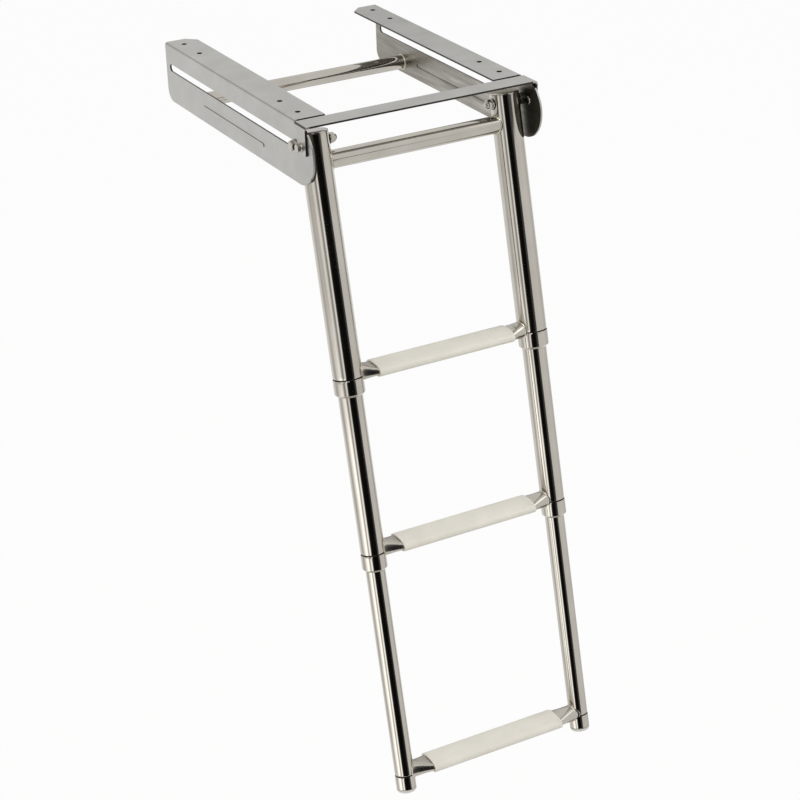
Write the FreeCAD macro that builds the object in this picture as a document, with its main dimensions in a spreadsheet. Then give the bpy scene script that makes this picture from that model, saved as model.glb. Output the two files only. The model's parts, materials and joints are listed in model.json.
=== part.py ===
import FreeCAD, Part
import os
import Sketcher
from FreeCAD import Rotation, Vector

# Retractable boat ladder for the underside of a swim platform. Two sheet rails carry the slots that the
# ladder's pivot bolts slide in; the ladder hangs from those bolts and its two lower sections telescope.
# Origin: the middle of the front strap's top face, which is level with the rails' flanges and lies
# against the platform. X is the width, Y runs to the rear along the rails, Z is up.

doc = FreeCAD.newDocument("retractable_boat_ladder")
sheet = doc.addObject("Spreadsheet::Sheet", "Sizes")

SIZES = (
    # rails
    ("frame_width", 270, "outer face to outer face of the two rail webs"),
    ("rail_sheet", 2, "sheet that the rails are bent from"),
    ("rail_height", 66, "depth of the web below the flange top"),
    ("rail_rear", 340, "rear end of the rails behind the origin"),
    ("flange_width", 35.5, "flange, from the web's outer face"),
    ("bend_radius", 3, "outer radius of the bend"),
    ("flange_chamfer", 11, "inboard rear corner of the flange"),
    ("web_corner_radius", 13, "lower rear corner of the web"),
    ("ear_front", 24.5, "front of the rounded ear, ahead of the origin"),
    ("slot_clearance", 0.5, "slot wider than the spacer's neck in it"),
    ("slot_drop", 26.3, "slot centre below the flange top"),
    ("slot_front", 16, "centre of the slot's front end"),
    ("slot_rear_end", 14, "centre of the slot's rear end, from the rail's end"),
    ("bead_drop", 49, "pressed stiffening bead in the web, below the flange top"),
    ("bead_width", 4, ""),
    ("bead_depth", 0.6, "bead stands this far out, with a groove as deep inside"),
    ("bead_front", 93, "centre of the bead's front end"),
    ("bead_rear_end", 99, "centre of the bead's rear end, from the rail's end"),
    ("screw_hole", 6, "diameter of the mounting holes"),
    ("screw_inset", 15.2, "mounting holes from the web's outer face"),
    ("screw_front", 37.5, "foremost mounting hole"),
    ("screw_rear_end", 19, "rearmost mounting hole, from the rail's end"),
    ("screw_pair", 41.5, "between the two holes of a pair"),
    # front strap
    ("strap_width", 24, "strap, front to rear"),
    ("strap_sheet", 2, "strap thickness"),
    ("strap_gap", 4, "slit between strap and flanges"),
    ("strap_bend", 3, "outer radius of the strap's bends"),
    ("tab_margin", 7.5, "tab's lower edge below the strap bolt"),
    ("tab_rear", 6, "rear edge of the tab below the bend"),
    ("tab_shoulder", 7, "depth at which the tab narrows"),
    ("tab_corner", 3, "rounded lower corners of the tab"),
    ("strap_bolt_drop", 24, "strap bolt below the strap's top"),
    ("strap_bolt_size", 5, "shank diameter"),
    ("strap_bolt_flats", 8, "across the flats"),
    ("strap_bolt_head", 3.6, "head height"),
    ("strap_washer", 10, "washer diameter"),
    ("strap_washer_sheet", 1, ""),
    ("strap_bolt_end", 1.2, "flat clinched end inside the web"),
    # rear cross tube
    ("rear_tube_size", 16, "outside diameter"),
    ("rear_tube_wall", 1.5, ""),
    ("rear_tube_end", 62, "from the rail's rear end"),
    ("stow_clearance", 2.7, "stowed ladder above the tube"),
    # pivot bolts
    ("bolt_size", 6, "shank diameter"),
    ("bolt_flats", 10, "across the flats"),
    ("bolt_head", 4, "head height"),
    ("bolt_end", 1.5, "thread that stands out of the nut"),
    ("nut_height", 6, ""),
    ("nut_band", 2, "round locking band at the nut's end"),
    ("nut_band_step", 0.5, "band inside the nut's flats"),
    ("washer_size", 12.5, "washer and spacer diameter"),
    ("washer_sheet", 1.6, ""),
    ("neck_size", 8, "spacer's neck, which runs in the slot"),
    ("side_play", 0.15, "play of the washers on web and tube"),
    ("bolt_play", 0.1, "play of a bolt in its hole, all round"),
    # ladder
    ("lean", 12.2, "degrees that the hanging ladder leans out at the foot"),
    ("side_gap", 3.5, "between an upper tube and its rail"),
    ("upper_size", 32, "outside diameter of the upper tubes"),
    ("tube_wall", 1.5, ""),
    ("middle_clearance", 1.25, "between upper and middle tubes, all round"),
    ("lower_clearance", 1, "between middle and lower tubes, all round"),
    ("top_reach", 9, "upper tube above the pivot"),
    ("upper_drop", 250, "pivot to the joint line of the upper collar"),
    ("middle_drop", 195, "upper to middle collar, drawn out"),
    ("lower_drop", 259, "middle collar to foot, drawn out"),
    ("collar_length", 19, ""),
    ("collar_wall", 0.5, "collar stands this far proud of its tube"),
    ("collar_chamfer", 2.5, ""),
    ("slide_play", 0.3, "play of a tube in its collar, all round"),
    ("middle_inside", 70, "middle tube left inside the upper one"),
    ("lower_inside", 40, "lower tube left inside the middle one"),
    ("cap_height", 3, "top cap above the tube's end"),
    ("cap_edge", 2.2, "rounded edge of the cap"),
    ("cap_spigot", 2.5, "plug inside the tube, clear of the pivot bolt"),
    ("foot_wall", 0.4, "foot socket stands this far proud of its tube"),
    ("foot_length", 16, "metal socket at the foot"),
    ("plug_height", 4, "plastic plug below the socket"),
    ("plug_edge", 3, "rounded edge of the plug"),
    ("plug_spigot", 10, "plug inside the socket"),
    ("top_bar_size", 19, "outside diameter of the top cross tube"),
    ("top_bar_drop", 22, "top cross tube below the pivot"),
    # steps
    ("rung_rise", 2.5, "rung centre above the seam"),
    ("rung_end_size", 19, "diameter at the uprights"),
    ("rung_depth", 27, "flattened middle, front to rear"),
    ("rung_height", 9, "flattened middle, top to bottom"),
    ("tread_end", 15, "bare rung between tread and upper tube"),
    ("tread_depth", 33, ""),
    ("tread_height", 14, ""),
)

for row, (alias, number, note) in enumerate(SIZES, start=1):
    sheet.set("A%d" % row, alias)
    sheet.set("B%d" % row, str(number))
    sheet.set("C%d" % row, note)
    sheet.setAlias("B%d" % row, alias)
doc.recompute()

# Sizes that follow from the ones above, as expressions.
WEB_OUTSIDE = "( frame_width / 2 )"
WEB_INSIDE = "( frame_width / 2 - rail_sheet )"
SLOT_HEIGHT = "( neck_size + slot_clearance )"
SLOT_REAR = "( rail_rear - slot_rear_end )"
TAB_DROP = "( strap_bolt_drop + tab_margin )"
UPRIGHT = "( " + WEB_INSIDE + " - side_gap - upper_size / 2 )"
TUBE_CROWN = "( " + WEB_INSIDE + " - side_gap )"
INNER_CROWN = "( " + WEB_INSIDE + " - side_gap - upper_size )"
MIDDLE_SIZE = "( upper_size - 2 * tube_wall - 2 * middle_clearance )"
LOWER_SIZE = "( " + MIDDLE_SIZE + " - 2 * tube_wall - 2 * lower_clearance )"
REAR_TUBE_DROP = "( slot_drop + upper_size / 2 + collar_wall + stow_clearance + rear_tube_size / 2 )"
SEAM_ONE = "upper_drop"
SEAM_TWO = "( upper_drop + middle_drop )"
SEAM_THREE = "( upper_drop + middle_drop + lower_drop )"
HALF_TREAD = "( " + INNER_CROWN + " - tread_end )"

SIDES = (("left", -1), ("right", 1))
ALIASES = {alias for alias, number, note in SIZES}
parts = {}


def text(expression):
    """The expression with the sheet's name put before each alias."""
    words = []
    for word in expression.split():
        name = word.strip("()")
        words.append(word.replace(name, "Sizes." + name) if name in ALIASES else word)
    return " ".join(words)


def value(expression):
    return float(sheet.evalExpression(text(expression)))


def bind(thing, path, expression):
    thing.setExpression(path, text(expression))


def keep(name, thing):
    thing.Label = name
    parts[name] = thing


def new_body(name):
    return doc.addObject("PartDesign::Body", name)


def new_sketch(body, role, offset):
    """An empty sketch on one of the body's own planes, moved along its normal."""
    sketch = body.newObject("Sketcher::SketchObject", body.Name + "_sketch")
    plane = [feature for feature in body.Origin.OriginFeatures if feature.Role == role][0]
    sketch.AttachmentSupport = [(plane, "")]
    sketch.MapMode = "FlatFace"
    bind(sketch, "AttachmentOffset.Base.z", offset)
    return sketch


def hold(sketch, kind, item, point, expression):
    """Hold a point of the sketch at a bound distance from the sketch's origin."""
    number = value(expression)
    index = sketch.addConstraint(Sketcher.Constraint(kind, -1, 1, item, point, number))
    sketch.setExpression("Constraints[%d]" % index, text(expression))


def outline(body, role, points, offset="0"):
    """A closed sketch of straight lines through bound points."""
    sketch = new_sketch(body, role, offset)
    corners = [Vector(value(across), value(up), 0) for across, up in points]
    for start, end in zip(corners, corners[1:] + corners[:1]):
        sketch.addGeometry(Part.LineSegment(start, end), False)
    for item in range(len(corners)):
        sketch.addConstraint(Sketcher.Constraint("Coincident", item, 2, (item + 1) % len(corners), 1))
    for item, (across, up) in enumerate(points):
        hold(sketch, "DistanceX", item, 1, across)
        hold(sketch, "DistanceY", item, 1, up)
    return sketch


def circle(body, role, across, up, diameter, offset="0"):
    """A sketch of one bound circle."""
    sketch = new_sketch(body, role, offset)
    centre = Vector(value(across), value(up), 0)
    sketch.addGeometry(Part.Circle(centre, Vector(0, 0, 1), value(diameter) / 2), False)
    hold(sketch, "DistanceX", 0, 3, across)
    hold(sketch, "DistanceY", 0, 3, up)
    index = sketch.addConstraint(Sketcher.Constraint("Diameter", 0, value(diameter)))
    sketch.setExpression("Constraints[%d]" % index, text(diameter))
    return sketch


def pad(body, sketch, length, both=False, back=False):
    feature = body.newObject("PartDesign::Pad", body.Name + "_pad")
    feature.Profile = sketch
    bind(feature, "Length", length)
    feature.Midplane = both
    feature.Reversed = back


def pocket(body, sketch, length="2 * frame_width", both=True, back=False):
    """Cut the sketch to both sides of its plane, through the whole body unless a length is given."""
    feature = body.newObject("PartDesign::Pocket", body.Name + "_pocket")
    feature.Profile = sketch
    bind(feature, "Length", length)
    feature.Midplane = both
    feature.Reversed = back


def long_hole(body, front, rear, drop, width, offset="0"):
    """Three sketches side-on to the rails that together make a round-ended strip."""
    low = "0 - " + drop + " - " + width + " / 2"
    high = "0 - " + drop + " + " + width + " / 2"
    return (
        outline(body, "YZ_Plane", ((front, low), (rear, low), (rear, high), (front, high)), offset),
        circle(body, "YZ_Plane", front, "0 - " + drop, width, offset),
        circle(body, "YZ_Plane", rear, "0 - " + drop, width, offset),
    )


def turned(name, points):
    """A body turned about its own Z axis from a half section of (radius, height) points."""
    body = new_body(name)
    turn(body, points)
    return body


def turn(body, points):
    sketch = outline(body, "XZ_Plane", points)
    feature = body.newObject("PartDesign::Revolution", body.Name + "_turn")
    feature.Profile = sketch
    feature.ReferenceAxis = (sketch, ["V_Axis"])
    feature.Angle = 360


def round_edges(body, radius, choose):
    """Fillet the edges of the body's last feature whose middle passes the test."""
    doc.recompute()
    base = body.Tip
    chosen = []
    for index, edge in enumerate(base.Shape.Edges, start=1):
        middle = edge.valueAt((edge.FirstParameter + edge.LastParameter) / 2)
        if choose(edge, middle):
            chosen.append("Edge%d" % index)
    feature = body.newObject("PartDesign::Fillet", body.Name + "_round")
    feature.Base = (base, chosen)
    bind(feature, "Radius", radius)


def near(first, second):
    return abs(first - second) < 0.01


def runs_along(edge, axis):
    """True for a straight edge that is parallel to the axis."""
    if len(edge.Vertexes) != 2:
        return False
    way = edge.Vertexes[1].Point - edge.Vertexes[0].Point
    return way.Length > 0.1 and way.cross(axis).Length < 0.001 * way.Length


# Rails: sheet bent to an angle, with the flange inboard at the top and a rounded ear at the front.
def rail(side, sign):
    body = new_body(side + "_rail")
    left_face = WEB_INSIDE if sign > 0 else "0 - " + WEB_OUTSIDE
    outer = "%d * frame_width / 2" % sign
    inner = "%d * ( frame_width / 2 - flange_width )" % sign
    clipped = "%d * ( frame_width / 2 - flange_width + flange_chamfer )" % sign
    flange_front = "strap_width / 2 + strap_gap"
    ear_centre = "rail_height / 2 - ear_front"

    web = outline(body, "YZ_Plane", (
        (ear_centre, "0"),
        ("rail_rear", "0"),
        ("rail_rear", "0 - rail_height"),
        (ear_centre, "0 - rail_height"),
    ), left_face)
    pad(body, web, "rail_sheet")
    ear = circle(body, "YZ_Plane", ear_centre, "0 - rail_height / 2", "rail_height", left_face)
    pad(body, ear, "rail_sheet")
    flange = outline(body, "XY_Plane", (
        (outer, flange_front),
        (outer, "rail_rear"),
        (clipped, "rail_rear"),
        (inner, "rail_rear - flange_chamfer"),
        (inner, flange_front),
    ))
    pad(body, flange, "rail_sheet", back=True)
    top_edge = value(outer)
    bend_edge = value("%d * " % sign + WEB_INSIDE)
    along = Vector(0, 1, 0)
    round_edges(body, "bend_radius - rail_sheet", lambda edge, middle: (
        runs_along(edge, along) and near(middle.x, bend_edge) and near(middle.z, -value("rail_sheet"))))
    # the strap rests on the lowered top of the ear
    seat = outline(body, "YZ_Plane", (
        ("0 - ear_front - strap_width", "0 - strap_sheet"),
        (flange_front, "0 - strap_sheet"),
        (flange_front, "rail_sheet"),
        ("0 - ear_front - strap_width", "rail_sheet"),
    ))
    pocket(body, seat)

    round_edges(body, "bend_radius", lambda edge, middle: (
        runs_along(edge, along) and near(middle.x, top_edge) and near(middle.z, 0)))
    round_edges(body, "web_corner_radius", lambda edge, middle: (
        runs_along(edge, Vector(1, 0, 0)) and near(middle.y, value("rail_rear"))
        and near(middle.z, -value("rail_height"))))

    for sketch in long_hole(body, "slot_front", SLOT_REAR, "slot_drop", SLOT_HEIGHT):
        pocket(body, sketch)
    bead_rear = "( rail_rear - bead_rear_end )"
    bead_outer = "%d * ( frame_width / 2 + bead_depth )" % sign
    for sketch in long_hole(body, "bead_front", bead_rear, "bead_drop", "bead_width", bead_outer):
        pad(body, sketch, "bead_depth + rail_sheet / 2", back=sign > 0)
    groove_bottom = "%d * ( frame_width / 2 - rail_sheet + bead_depth )" % sign
    for sketch in long_hole(body, "bead_front", bead_rear, "bead_drop", "bead_width", groove_bottom):
        pocket(body, sketch, "2 * bead_depth", both=False, back=sign < 0)
    pocket(body, circle(body, "YZ_Plane", "0", "0 - strap_bolt_drop", "strap_bolt_size"))
    last_screw = "rail_rear - screw_rear_end"
    for row in ("screw_front", "screw_front + screw_pair", last_screw + " - screw_pair", last_screw):
        across = "%d * ( frame_width / 2 - screw_inset )" % sign
        pocket(body, circle(body, "XY_Plane", across, row, "screw_hole"))
    keep(side + "_rail", body)


for side, sign in SIDES:
    rail(side, sign)


# Front strap: flat bar across both rails, its ends bent down over the outside of the ears.
strap = new_body("front_strap")
TAB_OUTSIDE = "( frame_width / 2 + strap_sheet )"
section = outline(strap, "XZ_Plane", (
    ("0 - " + TAB_OUTSIDE, "0"),
    (TAB_OUTSIDE, "0"),
    (TAB_OUTSIDE, "0 - " + TAB_DROP),
    (WEB_OUTSIDE, "0 - " + TAB_DROP),
    (WEB_OUTSIDE, "0 - strap_sheet"),
    ("0 - " + WEB_OUTSIDE, "0 - strap_sheet"),
    ("0 - " + WEB_OUTSIDE, "0 - " + TAB_DROP),
    ("0 - " + TAB_OUTSIDE, "0 - " + TAB_DROP),
))
pad(strap, section, "strap_width", both=True)
relief = outline(strap, "YZ_Plane", (
    ("tab_rear", "0 - " + TAB_DROP + " - strap_sheet"),
    ("strap_width", "0 - " + TAB_DROP + " - strap_sheet"),
    ("strap_width", "0 - tab_shoulder"),
    ("tab_rear", "0 - tab_shoulder"),
))
pocket(strap, relief)
round_edges(strap, "strap_bend", lambda edge, middle: (
    runs_along(edge, Vector(0, 1, 0)) and near(abs(middle.x), value(TAB_OUTSIDE)) and near(middle.z, 0)))
round_edges(strap, "tab_corner", lambda edge, middle: (
    runs_along(edge, Vector(1, 0, 0)) and near(middle.z, -value(TAB_DROP))))
pocket(strap, circle(strap, "YZ_Plane", "0", "0 - strap_bolt_drop", "strap_bolt_size"))
keep("front_strap", strap)


# Rear cross tube: welded between the webs, low enough for the stowed ladder to lie on.
rear_tube = turned("rear_cross_tube", (
    ("rear_tube_size / 2 - rear_tube_wall", "0 - " + WEB_INSIDE),
    ("rear_tube_size / 2", "0 - " + WEB_INSIDE),
    ("rear_tube_size / 2", WEB_INSIDE),
    ("rear_tube_size / 2 - rear_tube_wall", WEB_INSIDE),
))
rear_tube.Placement.Rotation = Rotation(Vector(0, 1, 0), 90)
bind(rear_tube, "Placement.Base.y", "rail_rear - rear_tube_end")
bind(rear_tube, "Placement.Base.z", "0 - " + REAR_TUBE_DROP)
keep("rear_cross_tube", rear_tube)


def hexagon(body, flats, height, offset="0"):
    """A six-sided pad about the body's Z axis, upwards from the offset."""
    corner = flats + " / sqrt( 3 )"
    corners = [("%s * cos( %d )" % (corner, angle), "%s * sin( %d )" % (corner, angle))
               for angle in range(0, 360, 60)]
    pad(body, outline(body, "XY_Plane", corners, offset), height)


def across_frame(body, sign, outer_face):
    """Lay the body's Z axis along X, pointing inboard, with its zero at a distance from the middle."""
    body.Placement.Rotation = Rotation(Vector(0, 1, 0), -90 * sign)
    bind(body, "Placement.Base.x", "%d * ( %s )" % (sign, outer_face))


# Strap bolts: hex head and washer outside the tab, clinched flat inside the web.
for side, sign in SIDES:
    bolt = new_body(side + "_strap_bolt")
    grip = "strap_sheet + rail_sheet"
    hexagon(bolt, "strap_bolt_flats", "strap_bolt_head", "0 - strap_bolt_head - strap_washer_sheet")
    turn(bolt, (
        ("0", "0 - strap_washer_sheet"),
        ("strap_washer / 2", "0 - strap_washer_sheet"),
        ("strap_washer / 2", "0"),
        ("strap_bolt_size / 2", "0"),
        ("strap_bolt_size / 2", grip),
        ("strap_bolt_flats / 2", grip),
        ("strap_bolt_flats / 2", grip + " + strap_bolt_end"),
        ("0", grip + " + strap_bolt_end"),
    ))
    across_frame(bolt, sign, "frame_width / 2 + strap_sheet")
    bind(bolt, "Placement.Base.z", "0 - strap_bolt_drop")
    keep(side + "_strap_bolt", bolt)


# Pivot bolts: each carries one upper tube between spacer and nut. The spacer's neck runs in the slot.
def on_pivot(body, sign, outer_face):
    across_frame(body, sign, outer_face)
    bind(body, "Placement.Base.y", "slot_front")
    bind(body, "Placement.Base.z", "0 - slot_drop")


def washer(name, sign, outer_face, thickness):
    body = turned(name, (
        ("bolt_size / 2", "0"),
        ("washer_size / 2", "0"),
        ("washer_size / 2", thickness),
        ("bolt_size / 2", thickness),
    ))
    on_pivot(body, sign, outer_face)
    keep(name, body)


for side, sign in SIDES:
    head_seat = WEB_OUTSIDE + " + side_play + washer_sheet"
    shank = head_seat + " - " + INNER_CROWN + " + side_play + washer_sheet + nut_height + bolt_end"
    bolt = new_body(side + "_pivot_bolt")
    hexagon(bolt, "bolt_flats", "bolt_head", "0 - bolt_head")
    pad(bolt, circle(bolt, "XY_Plane", "0", "0", "bolt_size"), shank)
    on_pivot(bolt, sign, head_seat)
    keep(side + "_pivot_bolt", bolt)

    washer(side + "_outer_washer", sign, head_seat, "washer_sheet")
    spacer_length = WEB_INSIDE + " - " + TUBE_CROWN + " - 2 * side_play"
    neck_end = "0 - rail_sheet - 2 * side_play"
    spacer = turned(side + "_pivot_spacer", (
        ("bolt_size / 2", neck_end),
        ("neck_size / 2", neck_end),
        ("neck_size / 2", "0"),
        ("washer_size / 2", "0"),
        ("washer_size / 2", spacer_length),
        ("bolt_size / 2", spacer_length),
    ))
    on_pivot(spacer, sign, WEB_INSIDE + " - side_play")
    keep(side + "_pivot_spacer", spacer)
    washer(side + "_inner_washer", sign, INNER_CROWN + " - side_play", "washer_sheet")

    nut = new_body(side + "_pivot_nut")
    hexagon(nut, "bolt_flats", "nut_height - nut_band")
    band = circle(nut, "XY_Plane", "0", "0", "bolt_flats - 2 * nut_band_step", "nut_height - nut_band")
    pad(nut, band, "nut_band")
    pocket(nut, circle(nut, "XY_Plane", "0", "0", "bolt_size"))
    on_pivot(nut, sign, INNER_CROWN + " - side_play - washer_sheet")
    keep(side + "_pivot_nut", nut)


# Ladder pieces stand in the ladder's own frame: zero at the pivot, Z up the tubes, leaning with them.
def on_ladder(thing, across="0"):
    thing.Placement.Rotation = Rotation(Vector(-1, 0, 0), 1)
    bind(thing, "Placement.Rotation.Angle", "lean")
    bind(thing, "Placement.Base.x", across)
    bind(thing, "Placement.Base.y", "slot_front")
    bind(thing, "Placement.Base.z", "0 - slot_drop")


def upright(sign):
    return "%d * %s" % (sign, UPRIGHT)


def tube(name, sign, size, low, high):
    """A round tube between two heights of the ladder."""
    body = turned(name, (
        (size + " / 2 - tube_wall", low),
        (size + " / 2", low),
        (size + " / 2", high),
        (size + " / 2 - tube_wall", high),
    ))
    on_ladder(body, upright(sign))
    keep(name, body)
    return body


def collar(name, sign, size, next_size, seam):
    """A collar below a seam: the next tube slides through it, and its lower edge is chamfered."""
    bore = next_size + " / 2 + slide_play"
    radius = size + " / 2 + collar_wall"
    bottom = "0 - " + seam + " - collar_length"
    body = turned(name, (
        (bore, bottom),
        (radius + " - collar_chamfer", bottom),
        (radius, bottom + " + collar_chamfer"),
        (radius, "0 - " + seam),
        (bore, "0 - " + seam),
    ))
    on_ladder(body, upright(sign))
    keep(name, body)


def round_rim(body, radius, height):
    """Round the outer edge of a turned body's end."""
    round_edges(body, radius, lambda edge, middle: near(middle.z, value(height)))


for side, sign in SIDES:
    upper = tube(side + "_upper_tube", sign, "upper_size", "0 - " + SEAM_ONE, "top_reach")
    pocket(upper, circle(upper, "YZ_Plane", "0", "0", "bolt_size + 2 * bolt_play"))
    collar(side + "_upper_collar", sign, "upper_size", MIDDLE_SIZE, SEAM_ONE)
    tube(side + "_middle_tube", sign, MIDDLE_SIZE, "0 - " + SEAM_TWO, "middle_inside - " + SEAM_ONE)
    collar(side + "_middle_collar", sign, MIDDLE_SIZE, LOWER_SIZE, SEAM_TWO)
    tube(side + "_lower_tube", sign, LOWER_SIZE, "0 - " + SEAM_THREE, "lower_inside - " + SEAM_TWO)

    # rounded cap with a short spigot in the upper tube
    cap = turned(side + "_top_cap", (
        ("0", "top_reach - cap_spigot"),
        ("upper_size / 2 - tube_wall", "top_reach - cap_spigot"),
        ("upper_size / 2 - tube_wall", "top_reach"),
        ("upper_size / 2", "top_reach"),
        ("upper_size / 2", "top_reach + cap_height"),
        ("0", "top_reach + cap_height"),
    ))
    round_rim(cap, "cap_edge", "top_reach + cap_height")
    on_ladder(cap, upright(sign))
    keep(side + "_top_cap", cap)

    # foot: metal socket at the end of the lower tube, closed by a plastic plug
    socket_low = "0 - " + SEAM_THREE + " - foot_length"
    bore = LOWER_SIZE + " / 2 - tube_wall"
    rim = LOWER_SIZE + " / 2 + foot_wall"
    socket = turned(side + "_foot_socket", (
        (bore, socket_low),
        (rim, socket_low),
        (rim, "0 - " + SEAM_THREE),
        (bore, "0 - " + SEAM_THREE),
    ))
    on_ladder(socket, upright(sign))
    keep(side + "_foot_socket", socket)
    plug = turned(side + "_foot_plug", (
        ("0", socket_low + " - plug_height"),
        (rim, socket_low + " - plug_height"),
        (rim, socket_low),
        (bore, socket_low),
        (bore, socket_low + " + plug_spigot"),
        ("0", socket_low + " + plug_spigot"),
    ))
    round_rim(plug, "plug_edge", socket_low + " - plug_height")
    on_ladder(plug, upright(sign))
    keep(side + "_foot_plug", plug)


def cylinder(name, radius, height):
    thing = doc.addObject("Part::Cylinder", name)
    bind(thing, "Radius", radius)
    bind(thing, "Height", height)
    return thing


def fuse(name, shapes):
    thing = doc.addObject("Part::MultiFuse", name)
    thing.Shapes = shapes
    return thing


def cut(name, base, tool):
    thing = doc.addObject("Part::Cut", name)
    thing.Base = base
    thing.Tool = tool
    return thing


# Top cross tube: welded between the upper tubes just below the pivot, its ends shaped to them.
bar = cylinder("top_bar_blank", "top_bar_size / 2", "2 * " + UPRIGHT)
bar.Placement.Rotation = Rotation(Vector(0, 1, 0), 90)
bind(bar, "Placement.Base.x", "0 - " + UPRIGHT)
bind(bar, "Placement.Base.z", "0 - top_bar_drop")
bar_ends = []
for side, sign in SIDES:
    post = cylinder(side + "_top_bar_end", "upper_size / 2", SEAM_ONE)
    bind(post, "Placement.Base.x", upright(sign))
    bind(post, "Placement.Base.z", "0 - " + SEAM_ONE)
    bar_ends.append(post)
top_bar = cut("top_cross_tube", bar, fuse("top_bar_ends", bar_ends))
on_ladder(top_bar)
keep("top_cross_tube", top_bar)


def oval(name, across, depth, height):
    """A level oval across the width, deep from front to rear."""
    thing = doc.addObject("Part::Ellipse", name)
    bind(thing, "MajorRadius", depth + " / 2")
    bind(thing, "MinorRadius", height + " / 2")
    thing.Placement.Rotation = Rotation(Vector(0, 1, 0), Vector(0, 0, 1), Vector(1, 0, 0), "ZXY")
    bind(thing, "Placement.Base.x", across)
    return thing


def loft(name, sections):
    thing = doc.addObject("Part::Loft", name)
    thing.Sections = sections
    thing.Solid = True
    thing.Ruled = True
    return thing


def leaning_post(name, sign, radius, low):
    """A cylinder parallel to the uprights, as long as the ladder is wide, from a height up."""
    post = cylinder(name, radius, "frame_width")
    post.Placement.Rotation = Rotation(Vector(-1, 0, 0), 1)
    bind(post, "Placement.Rotation.Angle", "lean")
    bind(post, "Placement.Base.x", upright(sign))
    bind(post, "Placement.Base.y", low + " * sin( lean )")
    bind(post, "Placement.Base.z", low + " * cos( lean )")
    return post


def at_step(thing, seam):
    """Put the thing in the ladder's plane at the height of a step, level."""
    down = "( " + seam + " - rung_rise )"
    bind(thing, "Placement.Base.y", "slot_front - " + down + " * sin( lean )")
    bind(thing, "Placement.Base.z", "0 - slot_drop - " + down + " * cos( lean )")


# Steps: a tube flattened in the middle and welded to the uprights at its round ends, level when the
# ladder hangs, with a plastic tread pulled over the flat.
def step(name, seam, size, proud):
    blank = loft(name + "_rung_blank", [
        oval(name + "_rung_left", "0 - " + UPRIGHT, "rung_end_size", "rung_end_size"),
        oval(name + "_rung_left_flat", "0 - " + HALF_TREAD, "rung_depth", "rung_height"),
        oval(name + "_rung_right_flat", HALF_TREAD, "rung_depth", "rung_height"),
        oval(name + "_rung_right", UPRIGHT, "rung_end_size", "rung_end_size"),
    ])
    ends = []
    for side, sign in SIDES:
        label = name + "_rung_" + side
        # the tube above the seam, and the collar that stands proud below it
        ends.append(leaning_post(label + "_tube", sign, size + " / 2", "( 0 - frame_width / 2 )"))
        ends.append(leaning_post(label + "_collar", sign, size + " / 2 + " + proud,
                                 "( 0 - rung_rise - frame_width )"))
    rung = cut(name + "_rung", blank, fuse(name + "_rung_ends", ends))
    at_step(rung, seam)
    keep(name + "_rung", rung)

    sleeve = loft(name + "_tread_blank", [
        oval(name + "_tread_left", "0 - " + HALF_TREAD, "tread_depth", "tread_height"),
        oval(name + "_tread_right", HALF_TREAD, "tread_depth", "tread_height"),
    ])
    core = loft(name + "_tread_core", [
        oval(name + "_core_left", "0 - " + UPRIGHT, "rung_depth", "rung_height"),
        oval(name + "_core_right", UPRIGHT, "rung_depth", "rung_height"),
    ])
    tread = cut(name + "_tread", sleeve, core)
    at_step(tread, seam)
    keep(name + "_tread", tread)


step("upper", SEAM_ONE, "upper_size", "collar_wall")
step("middle", SEAM_TWO, MIDDLE_SIZE, "collar_wall")
step("lower", SEAM_THREE, LOWER_SIZE, "foot_wall")

doc.recompute()

for thing in doc.Objects:
    if "Invalid" in thing.State or "Error" in thing.State:
        raise RuntimeError("%s is %s" % (thing.Name, thing.State))

os.makedirs("parts", exist_ok=True)
for name, thing in parts.items():
    shape = thing.Shape
    if shape.isNull() or not shape.isValid() or len(shape.Solids) != 1:
        raise RuntimeError("%s is not one valid solid" % name)
    shape.exportStep("parts/%s.step" % name)
    print("%-20s %9.1f mm3" % (name, shape.Volume))
print(len(parts), "pieces")
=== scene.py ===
import json
import math

import bmesh
import bpy
from mathutils import Matrix, Vector


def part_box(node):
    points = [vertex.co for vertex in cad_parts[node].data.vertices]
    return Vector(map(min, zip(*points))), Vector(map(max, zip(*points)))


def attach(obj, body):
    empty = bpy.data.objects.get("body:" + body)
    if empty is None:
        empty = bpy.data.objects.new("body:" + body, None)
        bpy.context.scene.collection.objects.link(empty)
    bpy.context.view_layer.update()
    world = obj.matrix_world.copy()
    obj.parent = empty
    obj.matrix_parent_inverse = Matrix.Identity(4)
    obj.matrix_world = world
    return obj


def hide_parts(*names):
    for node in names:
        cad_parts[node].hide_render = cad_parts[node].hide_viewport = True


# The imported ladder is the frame. Its pivot line and the lean of its uprights come from the joints, and
# every piece below is placed from them, in metres.
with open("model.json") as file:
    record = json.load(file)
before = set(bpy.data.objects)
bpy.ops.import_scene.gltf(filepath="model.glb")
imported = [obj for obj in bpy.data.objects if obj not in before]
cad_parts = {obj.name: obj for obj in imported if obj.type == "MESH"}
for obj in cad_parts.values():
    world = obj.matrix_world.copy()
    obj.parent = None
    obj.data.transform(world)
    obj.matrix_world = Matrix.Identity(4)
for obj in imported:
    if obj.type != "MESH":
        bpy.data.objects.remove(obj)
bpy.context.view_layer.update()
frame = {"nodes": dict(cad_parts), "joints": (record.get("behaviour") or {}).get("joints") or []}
bpy.ops.object.select_all(action="DESELECT")
joints = {joint["name"]: joint for joint in frame["joints"]}
pivot = Vector(joints["fold_hinge"]["pos_m"])
up_the_tubes = Vector(joints["middle_slide"]["axis"]).normalized()
lean = math.atan2(up_the_tubes.y, up_the_tubes.z)
SIDES = (("left", -1), ("right", 1))


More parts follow.
